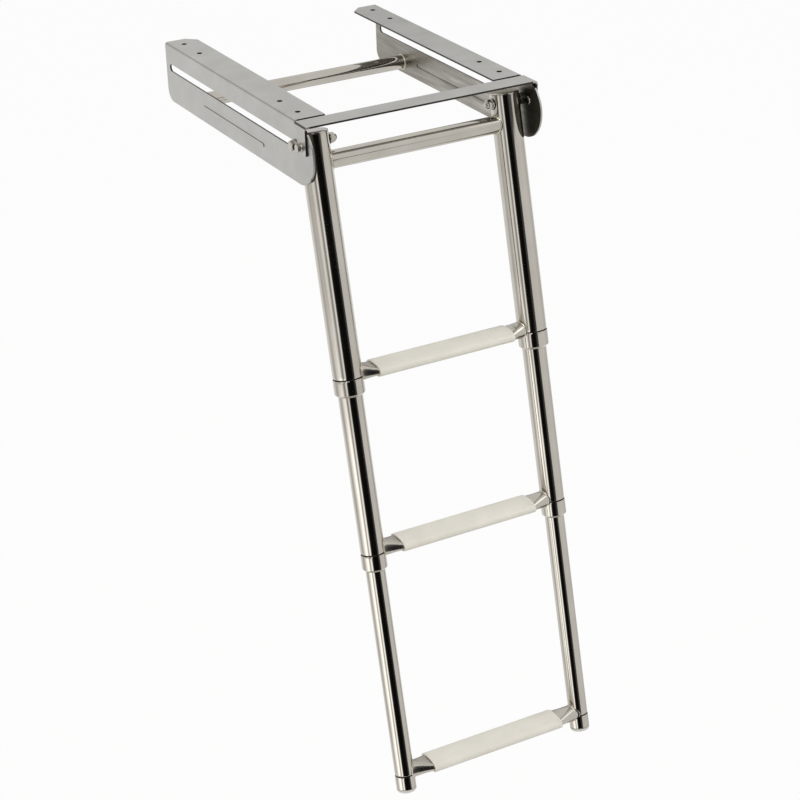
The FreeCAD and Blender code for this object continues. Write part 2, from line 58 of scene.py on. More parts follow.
# Camera: a long lens above and to the left of the ladder, as it was photographed.
camera_data = bpy.data.cameras.new("camera")
camera = bpy.data.objects.new("camera", camera_data)
bpy.context.scene.collection.objects.link(camera)
camera_data.lens = 99.86
camera_data.sensor_width = 36
camera_data.shift_x = -0.0235
camera_data.shift_y = 0.0125
camera_data.clip_end = 50
view_azimuth = math.radians(-28.627)
view_elevation = math.radians(26.142)
view_roll = math.radians(-1.673)
camera.matrix_world = (
    Matrix.Translation((-1.0549, -1.9144, 0.7190))
    @ Matrix.Rotation(view_azimuth, 4, "Z")
    @ Matrix.Rotation(math.radians(90) - view_elevation, 4, "X")
    @ Matrix.Rotation(view_roll, 4, "Z")
)
bpy.context.scene.camera = camera


# Rails and strap: 2 mm stainless sheet, cold rolled and satin brushed along its length. The brushing
# blurs what it mirrors along the sheet, and handling leaves faint cloudy patches.
def linear(hex_colour):
    """A written sRGB colour as Blender's linear one."""
    channels = [int(hex_colour[i:i + 2], 16) / 255 for i in (0, 2, 4)]
    return [c / 12.92 if c <= 0.04045 else ((c + 0.055) / 1.055) ** 2.4 for c in channels] + [1]


def add(tree, kind, settings=(), links=()):
    """One shader node with its settings and the links into it."""
    made = tree.nodes.new(kind)
    for name, value in dict(settings).items():
        if isinstance(name, int) or name in made.inputs:
            made.inputs[name].default_value = value
        else:
            setattr(made, name, value)
    for name, source in dict(links).items():
        tree.links.new(source, made.inputs[name])
    return made


def ramp(tree, factor, stops):
    """A colour ramp from (position, grey or hex colour) stops."""
    made = add(tree, "ShaderNodeValToRGB", links={"Fac": factor})
    elements = made.color_ramp.elements
    while len(elements) < len(stops):
        elements.new(1)
    for element, (place, colour) in zip(elements, stops):
        element.position = place
        element.color = linear(colour) if isinstance(colour, str) else [colour] * 3 + [1]
    return made


def new_material(name):
    """An empty material with its surface shader, and the piece's own coordinates."""
    made = bpy.data.materials.new(name)
    made.use_nodes = True
    tree = made.node_tree
    tree.nodes.clear()
    place = add(tree, "ShaderNodeTexCoord").outputs["Object"]
    shader = add(tree, "ShaderNodeBsdfPrincipled")
    out = add(tree, "ShaderNodeOutputMaterial", links={"Surface": shader.outputs["BSDF"]})
    return made, tree, place, shader


def brushed_sheet():
    made, tree, place, shader = new_material("satin brushed stainless sheet")
    shader.inputs["Metallic"].default_value = 1
    # brushing lines about 0.5 mm apart, drawn that coarse so that they show
    along = add(tree, "ShaderNodeMapping", {"Scale": (2000, 25, 2000)}, {"Vector": place})
    lines = add(tree, "ShaderNodeTexNoise", {"Scale": 1, "Detail": 3, "Roughness": 0.6},
                {"Vector": along.outputs["Vector"]})
    # cloudy patches 20 to 40 mm wide from handling and passivation
    clouds = add(tree, "ShaderNodeTexNoise", {"Scale": 32, "Detail": 5, "Roughness": 0.55},
                 {"Vector": place})
    tone = ramp(tree, clouds.outputs["Fac"], ((0.3, "A4A39F"), (0.7, "B3B2AE")))
    # the webs' inner faces get painted shade, where the flange above and the other rail keep the light off them:
    # darker, streaked, and darker still towards the rear
    where = add(tree, "ShaderNodeSeparateXYZ", links={0: place})
    facing = add(tree, "ShaderNodeSeparateXYZ", links={0: add(tree, "ShaderNodeNewGeometry").outputs["Normal"]})
    outward = add(tree, "ShaderNodeMath", {"operation": "MULTIPLY"},
                  {0: where.outputs["X"], 1: facing.outputs["X"]})
    inside = add(tree, "ShaderNodeMath", {"operation": "LESS_THAN", 1: -0.1}, {0: outward.outputs[0]})
    stretched = add(tree, "ShaderNodeMapping", {"Scale": (60, 9, 110)}, {"Vector": place})
    streaks = add(tree, "ShaderNodeTexNoise", {"Scale": 1, "Detail": 4, "Roughness": 0.6},
                  {"Vector": stretched.outputs["Vector"]})
    inner_shade_streaks = ramp(tree, streaks.outputs["Fac"], ((0.35, "7C7A72"), (0.5, "98958D"), (0.68, "B4B2AC")))
    rear = add(tree, "ShaderNodeMapRange", {"From Min": 0.05, "From Max": 0.30, "To Max": 0.45},
               {"Value": where.outputs["Y"]})
    inner_shade_to_rear = add(tree, "ShaderNodeMix", {"data_type": "RGBA"}, {"Factor": rear.outputs["Result"]})
    tree.links.new(inner_shade_streaks.outputs["Color"], inner_shade_to_rear.inputs["A"])
    inner_shade_to_rear.inputs["B"].default_value = linear("6E6A60")
    # and the ears' inner faces get a brown painted shade towards their front: the painted dark reflection of the narrow
    # space between ear and tube
    ear_shade_amount = add(tree, "ShaderNodeMapRange", {"From Min": 0.030, "From Max": 0.004, "To Max": 0.75},
               {"Value": where.outputs["Y"]})
    ear_shaded = add(tree, "ShaderNodeMix", {"data_type": "RGBA"}, {"Factor": ear_shade_amount.outputs["Result"]})
    tree.links.new(inner_shade_to_rear.outputs["Result"], ear_shaded.inputs["A"])
    ear_shaded.inputs["B"].default_value = linear("3B372D")
    # a dark line is painted along the bends, where the face turns from flange to web
    squares = [add(tree, "ShaderNodeMath", {"operation": "MULTIPLY"}, {0: facing.outputs[axis], 1: facing.outputs[axis]})
               for axis in ("X", "Z")]
    both_ways = add(tree, "ShaderNodeMath", {"operation": "MULTIPLY"}, {0: squares[0].outputs[0], 1: squares[1].outputs[0]})
    bend = add(tree, "ShaderNodeMapRange", {"From Min": 0.12, "From Max": 0.25, "To Max": 0.55},
               {"Value": both_ways.outputs[0]})
    dark_bend_line = add(tree, "ShaderNodeMix", {"data_type": "RGBA"}, {"Factor": bend.outputs["Result"]})
    tree.links.new(tone.outputs["Color"], dark_bend_line.inputs["A"])
    dark_bend_line.inputs["B"].default_value = linear("6A6963")
    # the strap's own bends, made in a smaller tool, get a darker and narrower painted line
    in_strap = add(tree, "ShaderNodeMath", {"operation": "LESS_THAN", 1: 0.0125}, {0: where.outputs["Y"]})
    tight = add(tree, "ShaderNodeMapRange", {"From Min": 0.10, "From Max": 0.16, "To Max": 0.9},
                {"Value": both_ways.outputs[0]})
    creased = add(tree, "ShaderNodeMath", {"operation": "MULTIPLY"},
                  {0: tight.outputs["Result"], 1: in_strap.outputs[0]})
    strap_line = add(tree, "ShaderNodeMix", {"data_type": "RGBA"}, {"Factor": creased.outputs[0]})
    tree.links.new(dark_bend_line.outputs["Result"], strap_line.inputs["A"])
    strap_line.inputs["B"].default_value = linear("383530")
    # the webs' inner faces take the painted shade in place of the outer faces' tone
    with_inner_shade = add(tree, "ShaderNodeMix", {"data_type": "RGBA"}, {"Factor": inside.outputs[0]})
    tree.links.new(strap_line.outputs["Result"], with_inner_shade.inputs["A"])
    tree.links.new(ear_shaded.outputs["Result"], with_inner_shade.inputs["B"])
    # laser-cut edges, slot and holes keep a dark burnt skin
    def steep(axis, operation, limit):
        size = add(tree, "ShaderNodeMath", {"operation": "ABSOLUTE"}, {0: facing.outputs[axis]})
        return add(tree, "ShaderNodeMath", {"operation": operation, 1: limit}, {0: size.outputs[0]}).outputs[0]

    def product(*factors):
        made = factors[0]
        for factor in factors[1:]:
            made = add(tree, "ShaderNodeMath", {"operation": "MULTIPLY"}, {0: made, 1: factor}).outputs[0]
        return made

    below_bend = add(tree, "ShaderNodeMath", {"operation": "LESS_THAN", 1: -0.0035}, {0: where.outputs["Z"]})
    in_flange = add(tree, "ShaderNodeMath", {"operation": "GREATER_THAN", 1: -0.0021}, {0: where.outputs["Z"]})
    off_side = add(tree, "ShaderNodeMath", {"operation": "ABSOLUTE"}, {0: where.outputs["X"]})
    off_bend = add(tree, "ShaderNodeMath", {"operation": "LESS_THAN", 1: 0.1315}, {0: off_side.outputs[0]})
    behind_ear = add(tree, "ShaderNodeMath", {"operation": "GREATER_THAN", 1: -0.0125}, {0: where.outputs["Y"]})
    web_edge = product(steep("X", "LESS_THAN", 0.6), below_bend.outputs[0], behind_ear.outputs[0])
    flange_edge = product(steep("Z", "LESS_THAN", 0.6), in_flange.outputs[0], off_bend.outputs[0])
    cut = add(tree, "ShaderNodeMath", {"operation": "MAXIMUM"}, {0: web_edge, 1: flange_edge})
    burnt = add(tree, "ShaderNodeMix", {"data_type": "RGBA"}, {"Factor": cut.outputs[0]})
    tree.links.new(with_inner_shade.outputs["Result"], burnt.inputs["A"])
    burnt.inputs["B"].default_value = linear("3A3732")
    tree.links.new(burnt.outputs["Result"], shader.inputs["Base Color"])
    both = add(tree, "ShaderNodeMix", {"data_type": "FLOAT", "Factor": 0.45})
    tree.links.new(lines.outputs["Fac"], both.inputs["A"])
    tree.links.new(clouds.outputs["Fac"], both.inputs["B"])
    satin = ramp(tree, both.outputs["Result"], ((0.3, 0.26), (0.7, 0.40)))
    tree.links.new(satin.outputs["Color"], shader.inputs["Roughness"])
    grain = add(tree, "ShaderNodeBump", {"Strength": 0.12, "Distance": 0.00005},
                {"Height": lines.outputs["Fac"]})
    tree.links.new(grain.outputs["Normal"], shader.inputs["Normal"])
    return made


sheet_steel = brushed_sheet()
for node in ("left_rail", "right_rail", "front_strap"):
    for slot in frame["nodes"][node].material_slots:
        slot.material = sheet_steel


# Uprights: stainless tube polished to a mirror, three sizes that slide into each other. Each ends in
# a collar, turned and polished with it, behind a thin joint line where the weld was ground flush.
def polished_tube(name, sharpest, dullest):
    made, tree, place, shader = new_material(name)
    shader.inputs["Metallic"].default_value = 1
    # buffing lines about 1 mm apart round the tube, drawn along it
    along = add(tree, "ShaderNodeMapping", {"Scale": (900, 900, 4)}, {"Vector": place})
    buffing = add(tree, "ShaderNodeTexNoise", {"Scale": 1, "Detail": 2}, {"Vector": along.outputs["Vector"]})
    smears = add(tree, "ShaderNodeTexNoise", {"Scale": 26, "Detail": 4}, {"Vector": place})
    tone = ramp(tree, smears.outputs["Fac"], ((0.3, "B3AEA5"), (0.7, "BCB7AE")))
    tree.links.new(tone.outputs["Color"], shader.inputs["Base Color"])
    haze = ramp(tree, smears.outputs["Fac"], ((0.35, sharpest), (0.75, dullest)))
    tree.links.new(haze.outputs["Color"], shader.inputs["Roughness"])
    waviness = add(tree, "ShaderNodeBump", {"Strength": 0.06, "Distance": 0.00002},
                   {"Height": buffing.outputs["Fac"]})
    tree.links.new(waviness.outputs["Normal"], shader.inputs["Normal"])
    return made


tube_steel = polished_tube("mirror polished stainless tube", 0.045, 0.11)


def turned(name, outline, steps=96):
    """A closed ring or solid turned round the Z axis from its outline of (radius, height) points."""
    bpy.ops.object.select_all(action="DESELECT")
    bpy.ops.mesh.primitive_plane_add(size=0.001)
    piece = bpy.context.object
    piece.name = name
    bpy.ops.object.mode_set(mode="EDIT")
    bpy.ops.mesh.select_mode(type="VERT")
    bpy.ops.mesh.select_all(action="SELECT")
    bpy.ops.mesh.merge(type="CENTER")
    here = Vector((outline[0][0], 0, outline[0][1]))
    bpy.ops.transform.translate(value=here)
    for radius, height in list(outline[1:]) + [outline[0]]:
        there = Vector((radius, 0, height))
        bpy.ops.mesh.extrude_region_move(TRANSFORM_OT_translate={"value": there - here})
        here = there
    bpy.ops.mesh.select_all(action="SELECT")
    bpy.ops.mesh.spin(steps=steps, angle=math.tau, center=(0, 0, 0), axis=(0, 0, 1))
    bpy.ops.mesh.select_all(action="SELECT")
    bpy.ops.mesh.remove_doubles(threshold=0.000005)
    bpy.ops.mesh.normals_make_consistent(inside=False)
    bpy.ops.object.mode_set(mode="OBJECT")
    bpy.ops.object.shade_smooth_by_angle(angle=math.radians(28))
    return piece


def place_and_fix(piece, body, material, nodes=(), at=(0, 0, 0), turn=(0, 0, 0)):
    """Put a piece where it belongs, keep that place in its mesh, and fix it to its body."""
    piece.location = at
    piece.rotation_euler = turn
    bpy.ops.object.select_all(action="DESELECT")
    piece.select_set(True)
    bpy.context.view_layer.objects.active = piece
    bpy.ops.object.transform_apply(location=True, rotation=True, scale=True)
    if material:
        piece.data.materials.clear()
        piece.data.materials.append(material)
    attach(piece, body)
    if nodes:
        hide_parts(*nodes)
    return piece


def on_upright(piece, sign, body, material, nodes=()):
    """Stand a piece, made with the pivot at its zero, on one leaning upright."""
    at = pivot + Vector((sign * upright, 0, 0))
    return place_and_fix(piece, body, material, nodes, at, (-lean, 0, 0))


upright = 0.1135
wall = 0.0015
upper_radius = 0.016
middle_radius = 0.01325
lower_radius = 0.01075
tube_top = 0.009
upper_seam = -0.250
middle_seam = -0.445
foot_seam = -0.704
middle_top = -0.180
lower_top = -0.405
joint_depth = 0.0007
joint_half = 0.00065
bolt_hole = 0.0031
hole_ring = 0.0045
collar_proud = 0.0005
collar_length = 0.019
collar_slope = 0.0025
edge = 0.0003


def tube_outline(radius, low, high, rows=()):
    """Half section of a tube: square cut on top, polished round towards the joint at its lower end."""
    return (
        (radius - wall, low),
        (radius - joint_depth, low),
        (radius - joint_depth, low + joint_half),
        (radius - 0.00030, low + joint_half + 0.0001),
        (radius - 0.00012, low + joint_half + 0.0008),
        (radius - 0.00003, low + joint_half + 0.0019),
        (radius, low + joint_half + 0.0038),
        *((radius, row) for row in rows),
        (radius, high - edge),
        (radius - edge, high),
        (radius - wall, high),
    )


def collar_outline(outer, bore, seam, length, slope):
    """Half section of a collar or socket: polished round at the joint, chamfered at its mouth."""
    mouth = seam - length
    return (
        (bore, mouth),
        (outer - slope, mouth),
        (outer, mouth + slope),
        (outer, seam - joint_half - 0.0032),
        (outer - 0.00003, seam - joint_half - 0.0019),
        (outer - 0.00014, seam - joint_half - 0.0008),
        (outer - 0.00040, seam - joint_half - 0.0001),
        (outer - collar_proud - joint_depth, seam - joint_half),
        (outer - collar_proud - joint_depth, seam),
        (bore, seam),
    )


def drill(piece, radius, depth):
    """Drill an upright through, across it at the pivot."""
    bpy.ops.object.select_all(action="DESELECT")
    bpy.ops.mesh.primitive_cylinder_add(vertices=48, radius=radius, depth=depth,
                                        rotation=(0, math.radians(90), 0))
    cutter = bpy.context.object
    bpy.ops.object.transform_apply(location=True, rotation=True, scale=True)
    bpy.ops.object.select_all(action="DESELECT")
    piece.select_set(True)
    bpy.context.view_layer.objects.active = piece
    cut = piece.modifiers.new("bolt_hole", "BOOLEAN")
    cut.operation = "DIFFERENCE"
    cut.object = cutter
    bpy.ops.object.modifier_apply(modifier=cut.name)
    bpy.data.objects.remove(cutter)
    bpy.ops.object.shade_smooth_by_angle(angle=math.radians(28))


def joint_line():
    made, tree, place, shader = new_material("unpolished weld joint and painted rim shade")
    shader.inputs["Metallic"].default_value = 1
    scale = add(tree, "ShaderNodeTexNoise", {"Scale": 600, "Detail": 3}, {"Vector": place})
    tone = ramp(tree, scale.outputs["Fac"], ((0.3, "2E2B26"), (0.7, "4A463E")))
    tree.links.new(tone.outputs["Color"], shader.inputs["Base Color"])
    shader.inputs["Roughness"].default_value = 0.55
    return made


# the same dark steel also paints the shade on the foot sockets' rims over the plugs
joint_and_rim_shade_steel = joint_line()


def with_joint(piece, seam):
    """Polished outside and dark in the joint's groove."""
    piece.data.materials.append(tube_steel)
    piece.data.materials.append(joint_and_rim_shade_steel)
    for face in piece.data.polygons:
        if abs(face.center.z - seam) < joint_half + 0.00008:
            face.material_index = 1
    return piece


for side, sign in SIDES:
    for name, body, radius, seam, top in (
            ("upper", "upper_section", upper_radius, upper_seam, tube_top),
            ("middle", "middle_section", middle_radius, middle_seam, middle_top),
            ("lower", "lower_section", lower_radius, foot_seam, lower_top)):
        # edge rings close above and below the bolt hole keep the long polished faces undisturbed
        rows = (-hole_ring, hole_ring) if name == "upper" else ()
        tube = turned(name + "_upright_" + side, tube_outline(radius, seam, top, rows))
        if name == "upper":
            drill(tube, bolt_hole, 3 * radius)
        on_upright(with_joint(tube, seam), sign, body, None, (side + "_" + name + "_tube",))
    for name, body, radius, inner, seam in (
            ("upper", "upper_section", upper_radius, middle_radius, upper_seam),
            ("middle", "middle_section", middle_radius, lower_radius, middle_seam)):
        outline = collar_outline(radius + collar_proud, inner + edge, seam, collar_length, collar_slope)
        collar = turned(name + "_collar_ring_" + side, outline)
        on_upright(with_joint(collar, seam), sign, body, None, (side + "_" + name + "_collar",))


# Top caps: pressed steel discs set into the upper tubes, with a rolled edge and a low dome.
cap_height = 0.003
cap_outline = [(0, tube_top - 0.0025), (upper_radius - wall, tube_top - 0.0025),
               (upper_radius - wall, tube_top), (upper_radius, tube_top)]
roll = 0.0020
for step in range(7):
    around = math.radians(15 * step)
    cap_outline.append((upper_radius - roll + roll * math.cos(around),
                        tube_top + cap_height - 0.0006 - roll + roll * math.sin(around)))
cap_outline += [(upper_radius * 0.6, tube_top + cap_height - 0.00025), (upper_radius * 0.3, tube_top + cap_height - 0.00005),
                (0, tube_top + cap_height)]
for side, sign in SIDES:
    on_upright(turned("top_cap_" + side, cap_outline), sign, "upper_section", tube_steel,
               (side + "_top_cap",))


# Feet: a short polished socket over the end of each lower tube, closed by a pale plastic plug.
def moulded_plug():
    made, tree, place, shader = new_material("moulded polythene plug")
    grain = add(tree, "ShaderNodeTexNoise", {"Scale": 900, "Detail": 2}, {"Vector": place})
    tone = ramp(tree, grain.outputs["Fac"], ((0.3, "CFCDC6"), (0.7, "D8D6D0")))
    tree.links.new(tone.outputs["Color"], shader.inputs["Base Color"])
    shader.inputs["Roughness"].default_value = 0.42
    shader.inputs["IOR"].default_value = 1.51
    texture = add(tree, "ShaderNodeBump", {"Strength": 0.1, "Distance": 0.00005}, {"Height": grain.outputs["Fac"]})
    tree.links.new(texture.outputs["Normal"], shader.inputs["Normal"])
    return made


plug_plastic = moulded_plug()
foot_radius = lower_radius + 0.0004
socket_low = foot_seam - 0.016
socket_rim = 0.0008
socket_outline = collar_outline(foot_radius, lower_radius - wall, foot_seam, 0.016, socket_rim)
plug_height = 0.004
plug_outline = [(0, socket_low + 0.010), (lower_radius - wall, socket_low + 0.010),
                (lower_radius - wall, socket_low), (foot_radius - 0.0009, socket_low),
                (foot_radius - 0.0009, socket_low - 0.0004), (foot_radius - 0.0002, socket_low - 0.0006),
                (foot_radius - 0.0002, socket_low - 0.0010)]
for step in range(1, 7):
    around = math.radians(15 * step)
    plug_outline.append((foot_radius - 0.0032 + 0.0030 * math.cos(around),
                         socket_low - 0.0010 - (plug_height - 0.0010) * math.sin(around)))
plug_outline.append((0, socket_low - plug_height))
for side, sign in SIDES:
    socket = turned("foot_socket_ring_" + side, socket_outline)
    with_joint(socket, foot_seam)
    for face in socket.data.polygons:
        # the rim over the plug gets painted shade in the joint's dark steel: the dark line between socket and plug
        if face.center.z < socket_low + 0.8 * socket_rim:
            face.material_index = 1
    on_upright(socket, sign, "lower_section", None, (side + "_foot_socket",))
    on_upright(turned("foot_plug_" + side, plug_outline), sign, "lower_section",
               plug_plastic, (side + "_foot_plug",))


# Top cross tube: the same polished tube, notched to the upper uprights just below the pivot and
# welded all round, with the weld left as a fine rippled bead.
def weld_bead():
    made, tree, place, shader = new_material("polished weld bead")
    shader.inputs["Metallic"].default_value = 1
    ripple = add(tree, "ShaderNodeTexNoise", {"Scale": 1400, "Detail": 3}, {"Vector": place})
    tone = ramp(tree, ripple.outputs["Fac"], ((0.3, "A89F8C"), (0.7, "CFC8B9")))
    tree.links.new(tone.outputs["Color"], shader.inputs["Base Color"])
    shader.inputs["Roughness"].default_value = 0.2
    bump = add(tree, "ShaderNodeBump", {"Strength": 0.3, "Distance": 0.0001}, {"Height": ripple.outputs["Fac"]})
    tree.links.new(bump.outputs["Normal"], shader.inputs["Normal"])
    return made


weld_steel = weld_bead()


def bar_across(name, radius, centre, half_length, vertices=64):
    """A polished solid-ended bar across the ladder."""
    bpy.ops.object.select_all(action="DESELECT")
    bpy.ops.mesh.primitive_cylinder_add(vertices=vertices, radius=radius, depth=2 * half_length,
                                        location=centre, rotation=(0, math.radians(90), 0))
    piece = bpy.context.object
    piece.name = name
    bpy.ops.object.transform_apply(location=True, rotation=True, scale=True)
    return piece


def notch(piece, radius):
    """Cut the ends of a cross piece to the uprights' round."""
    for side, sign in SIDES:
        bpy.ops.object.select_all(action="DESELECT")
        bpy.ops.mesh.primitive_cylinder_add(vertices=96, radius=radius, depth=2)
        cutter = bpy.context.object
        cutter.rotation_euler = (-lean, 0, 0)
        cutter.location = pivot + Vector((sign * upright, 0, 0))
        bpy.ops.object.transform_apply(location=True, rotation=True, scale=True)
        bpy.ops.object.select_all(action="DESELECT")
        piece.select_set(True)
        bpy.context.view_layer.objects.active = piece
        cut = piece.modifiers.new("notch", "BOOLEAN")
        cut.operation = "DIFFERENCE"
        cut.object = cutter
        bpy.ops.object.modifier_apply(modifier=cut.name)
        bpy.data.objects.remove(cutter)


def saddle_weld(name, centre, ring, radius, sign, bead, body):
    """A rippled bead round the end of a cross piece, laid on the upright's round."""
    bpy.ops.object.select_all(action="DESELECT")
    bpy.ops.mesh.primitive_torus_add(major_radius=ring, minor_radius=bead, major_segments=120,
                                     minor_segments=12, rotation=(0, math.radians(90), 0))
    piece = bpy.context.object
    piece.name = name
    bpy.ops.object.transform_apply(location=True, rotation=True, scale=True)
    for vertex in piece.data.vertices:
        point = vertex.co
        around = math.atan2(point.z, point.y)
        middle = Vector((0, math.cos(around), math.sin(around))) * ring
        point[:] = middle + (point - middle) * (1 + 0.10 * math.sin(34 * around))
        off_axis = point.y * math.cos(lean) - point.z * math.sin(lean)
        point.x += sign * (upright - math.sqrt(max(radius * radius - off_axis * off_axis, 0)))
        point.y += centre.y
        point.z += centre.z
    bpy.ops.object.shade_smooth()
    return place_and_fix(piece, body, weld_steel)


bar_radius = 0.0095
bar_centre = pivot - 0.022 * up_the_tubes
top_bar = bar_across("top_bar", bar_radius, bar_centre, upright)
notch(top_bar, upper_radius)
bpy.ops.object.shade_smooth_by_angle(angle=math.radians(28))
place_and_fix(top_bar, "upper_section", tube_steel, ("top_cross_tube",))
for side, sign in SIDES:
    saddle_weld("top_bar_weld_" + side, bar_centre, bar_radius + 0.0004, upper_radius, sign, 0.0011,
                "upper_section")


# Rungs: the same tube with its middle pressed flat, so that each end closes from a round to a wide
# flat through a three-cornered dish, welded to its uprights. The step hangs level.
rung_steel = polished_tube("pressed and buffed stainless tube", 0.18, 0.27)
flat_depth = 0.027
flat_height = 0.009
tread_half = 0.0825


def rung(name, seam, radius, body, node):
    centre = pivot + (seam + 0.0025) * up_the_tubes
    bpy.ops.object.select_all(action="DESELECT")
    bpy.ops.mesh.primitive_circle_add(vertices=64, radius=bar_radius, fill_type="NGON",
                                      rotation=(0, math.radians(90), 0))
    piece = bpy.context.object
    piece.name = name
    piece.rotation_euler.x = 0
    bpy.ops.object.transform_apply(location=True, rotation=True, scale=True)
    bpy.ops.object.mode_set(mode="EDIT")
    bpy.ops.mesh.select_all(action="SELECT")
    # half a facet of turn, so that no corner stands at the very top
    bpy.ops.transform.rotate(value=math.pi / 64, orient_axis="X", center_override=(0, 0, 0))
    bpy.ops.transform.translate(value=(-upright, 0, 0))
    shrink = flat_height / 2 / bar_radius
    spread = flat_depth / 2 - flat_height / 2
    inner = upright - radius - 0.0005
    dish = (
        # place along the rung, roundness left, and how far its halves have spread
        (-inner, 1.0, 0.0),
        (-tread_half - (inner - tread_half) * 0.5, 0.44, 0.50),
        (-tread_half, 0.0, 1.0),
        (tread_half, 0.0, 1.0),
        (tread_half + (inner - tread_half) * 0.5, 0.44, 0.50),
        (inner, 1.0, 0.0),
        (upright, 1.0, 0.0),
    )
    here, size_here, spread_here = -upright, 1.0, 0.0
    for across, roundness, part in dish:
        bpy.ops.mesh.extrude_region_move(TRANSFORM_OT_translate={"value": (across - here, 0, 0)})
        size = shrink + (1 - shrink) * roundness if part < 1 else shrink
        grow = size / size_here
        shape_ring(across, grow, (part * spread - spread_here))
        here, size_here, spread_here = across, size, part * spread
    bpy.ops.mesh.select_all(action="SELECT")
    bpy.ops.mesh.normals_make_consistent(inside=False)
    bpy.ops.transform.translate(value=centre)
    bpy.ops.object.mode_set(mode="OBJECT")
    notch(piece, radius)
    bpy.ops.object.shade_smooth_by_angle(angle=math.radians(20))
    return place_and_fix(piece, body, rung_steel, (node,))


def shape_ring(across, grow, move):
    """Scale the newest ring of a rung about each half's centre, then part its front and rear halves."""
    mesh = bmesh.from_edit_mesh(bpy.context.object.data)
    ring = [v for v in mesh.verts if v.select]
    offset = spread_of(ring)
    for vertex in ring:
        half = 1 if vertex.co.y > 0 else -1
        local = vertex.co.y - half * offset
        vertex.co.y = local * grow + half * (offset + move)
        vertex.co.z *= grow
    bmesh.update_edit_mesh(bpy.context.object.data)


def spread_of(ring):
    """How far the centres of a ring's two half rounds stand apart from its middle."""
    deepest = max(v.co.y for v in ring)
    highest = max(v.co.z for v in ring)
    return max(deepest - highest, 0)


for name, seam, radius, body in (("upper", upper_seam, upper_radius, "upper_section"),
                                 ("middle", middle_seam, middle_radius, "middle_section"),
                                 ("lower", foot_seam, lower_radius, "lower_section")):
    rung(name + "_step_tube", seam, radius, body, name + "_rung")
    centre = pivot + (seam + 0.0025) * up_the_tubes
    for side, sign in SIDES:
        saddle_weld(name + "_step_weld_" + side, centre, bar_radius, radius, sign, 0.0008, body)


# Treads: an off-white PVC sleeve moulded to slide over each flattened rung, 165 mm long, with soft
# edges and a fine satin grain that keeps a wet foot from slipping.
def tread_moulding():
    made, tree, place, shader = new_material("satin moulded PVC")
    grain = add(tree, "ShaderNodeTexNoise", {"Scale": 1500, "Detail": 2}, {"Vector": place})
    clouds = add(tree, "ShaderNodeTexNoise", {"Scale": 40, "Detail": 4}, {"Vector": place})
    tone = ramp(tree, clouds.outputs["Fac"], ((0.3, "D6D2C6"), (0.7, "DEDACF")))
    tree.links.new(tone.outputs["Color"], shader.inputs["Base Color"])
    satin = ramp(tree, clouds.outputs["Fac"], ((0.3, 0.40), (0.7, 0.52)))
    tree.links.new(satin.outputs["Color"], shader.inputs["Roughness"])
    shader.inputs["IOR"].default_value = 1.53
    bump = add(tree, "ShaderNodeBump", {"Strength": 0.25, "Distance": 0.00006}, {"Height": grain.outputs["Fac"]})
    tree.links.new(bump.outputs["Normal"], shader.inputs["Normal"])
    return made


tread_plastic = tread_moulding()
tread_depth = 0.033
tread_height = 0.014


def tread(name, seam, body, node):
    centre = pivot + (seam + 0.0025) * up_the_tubes
    bpy.ops.object.select_all(action="DESELECT")
    bpy.ops.mesh.primitive_cylinder_add(vertices=72, radius=0.5, depth=1, end_fill_type="NGON",
                                        rotation=(0, math.radians(90), 0))
    piece = bpy.context.object
    piece.name = name
    bpy.ops.object.transform_apply(location=True, rotation=True, scale=True)
    piece.scale = (2 * tread_half, tread_depth, tread_height)
    bpy.ops.object.transform_apply(location=True, rotation=True, scale=True)
    bpy.ops.object.mode_set(mode="EDIT")
    bpy.ops.mesh.select_all(action="DESELECT")
    mesh = bmesh.from_edit_mesh(piece.data)
    for vertex in mesh.verts:
        # the oval is drawn out towards its corners, so that the top lies flatter
        across, high = vertex.co.y / (tread_depth / 2), vertex.co.z / (tread_height / 2)
        angle = math.atan2(high, across)
        vertex.co.y = tread_depth / 2 * math.copysign(abs(math.cos(angle)) ** 0.86, across)
        vertex.co.z = tread_height / 2 * math.copysign(abs(math.sin(angle)) ** 0.86, high)
    for face in mesh.faces:
        face.select = abs(face.normal.x) > 0.9
    bmesh.update_edit_mesh(piece.data)
    bpy.ops.mesh.select_mode(type="FACE")
    # the sleeve's wall at each open end, and the bore behind it
    bpy.ops.mesh.inset(thickness=0.0021, depth=0)
    bpy.ops.mesh.inset(thickness=0.0003, depth=-0.0009)
    bpy.ops.mesh.select_all(action="DESELECT")
    bpy.ops.object.mode_set(mode="OBJECT")
    soften = piece.modifiers.new("soft ends", "BEVEL")
    soften.width = 0.0009
    soften.segments = 3
    soften.limit_method = "ANGLE"
    soften.angle_limit = math.radians(50)
    bpy.ops.object.modifier_apply(modifier=soften.name)
    bpy.ops.object.shade_smooth_by_angle(angle=math.radians(35))
    return place_and_fix(piece, body, tread_plastic, (node,), centre)


tread("upper_tread_sleeve", upper_seam, "upper_section", "upper_tread")
tread("middle_tread_sleeve", middle_seam, "middle_section", "middle_tread")
tread("lower_tread_sleeve", foot_seam, "lower_section", "lower_tread")


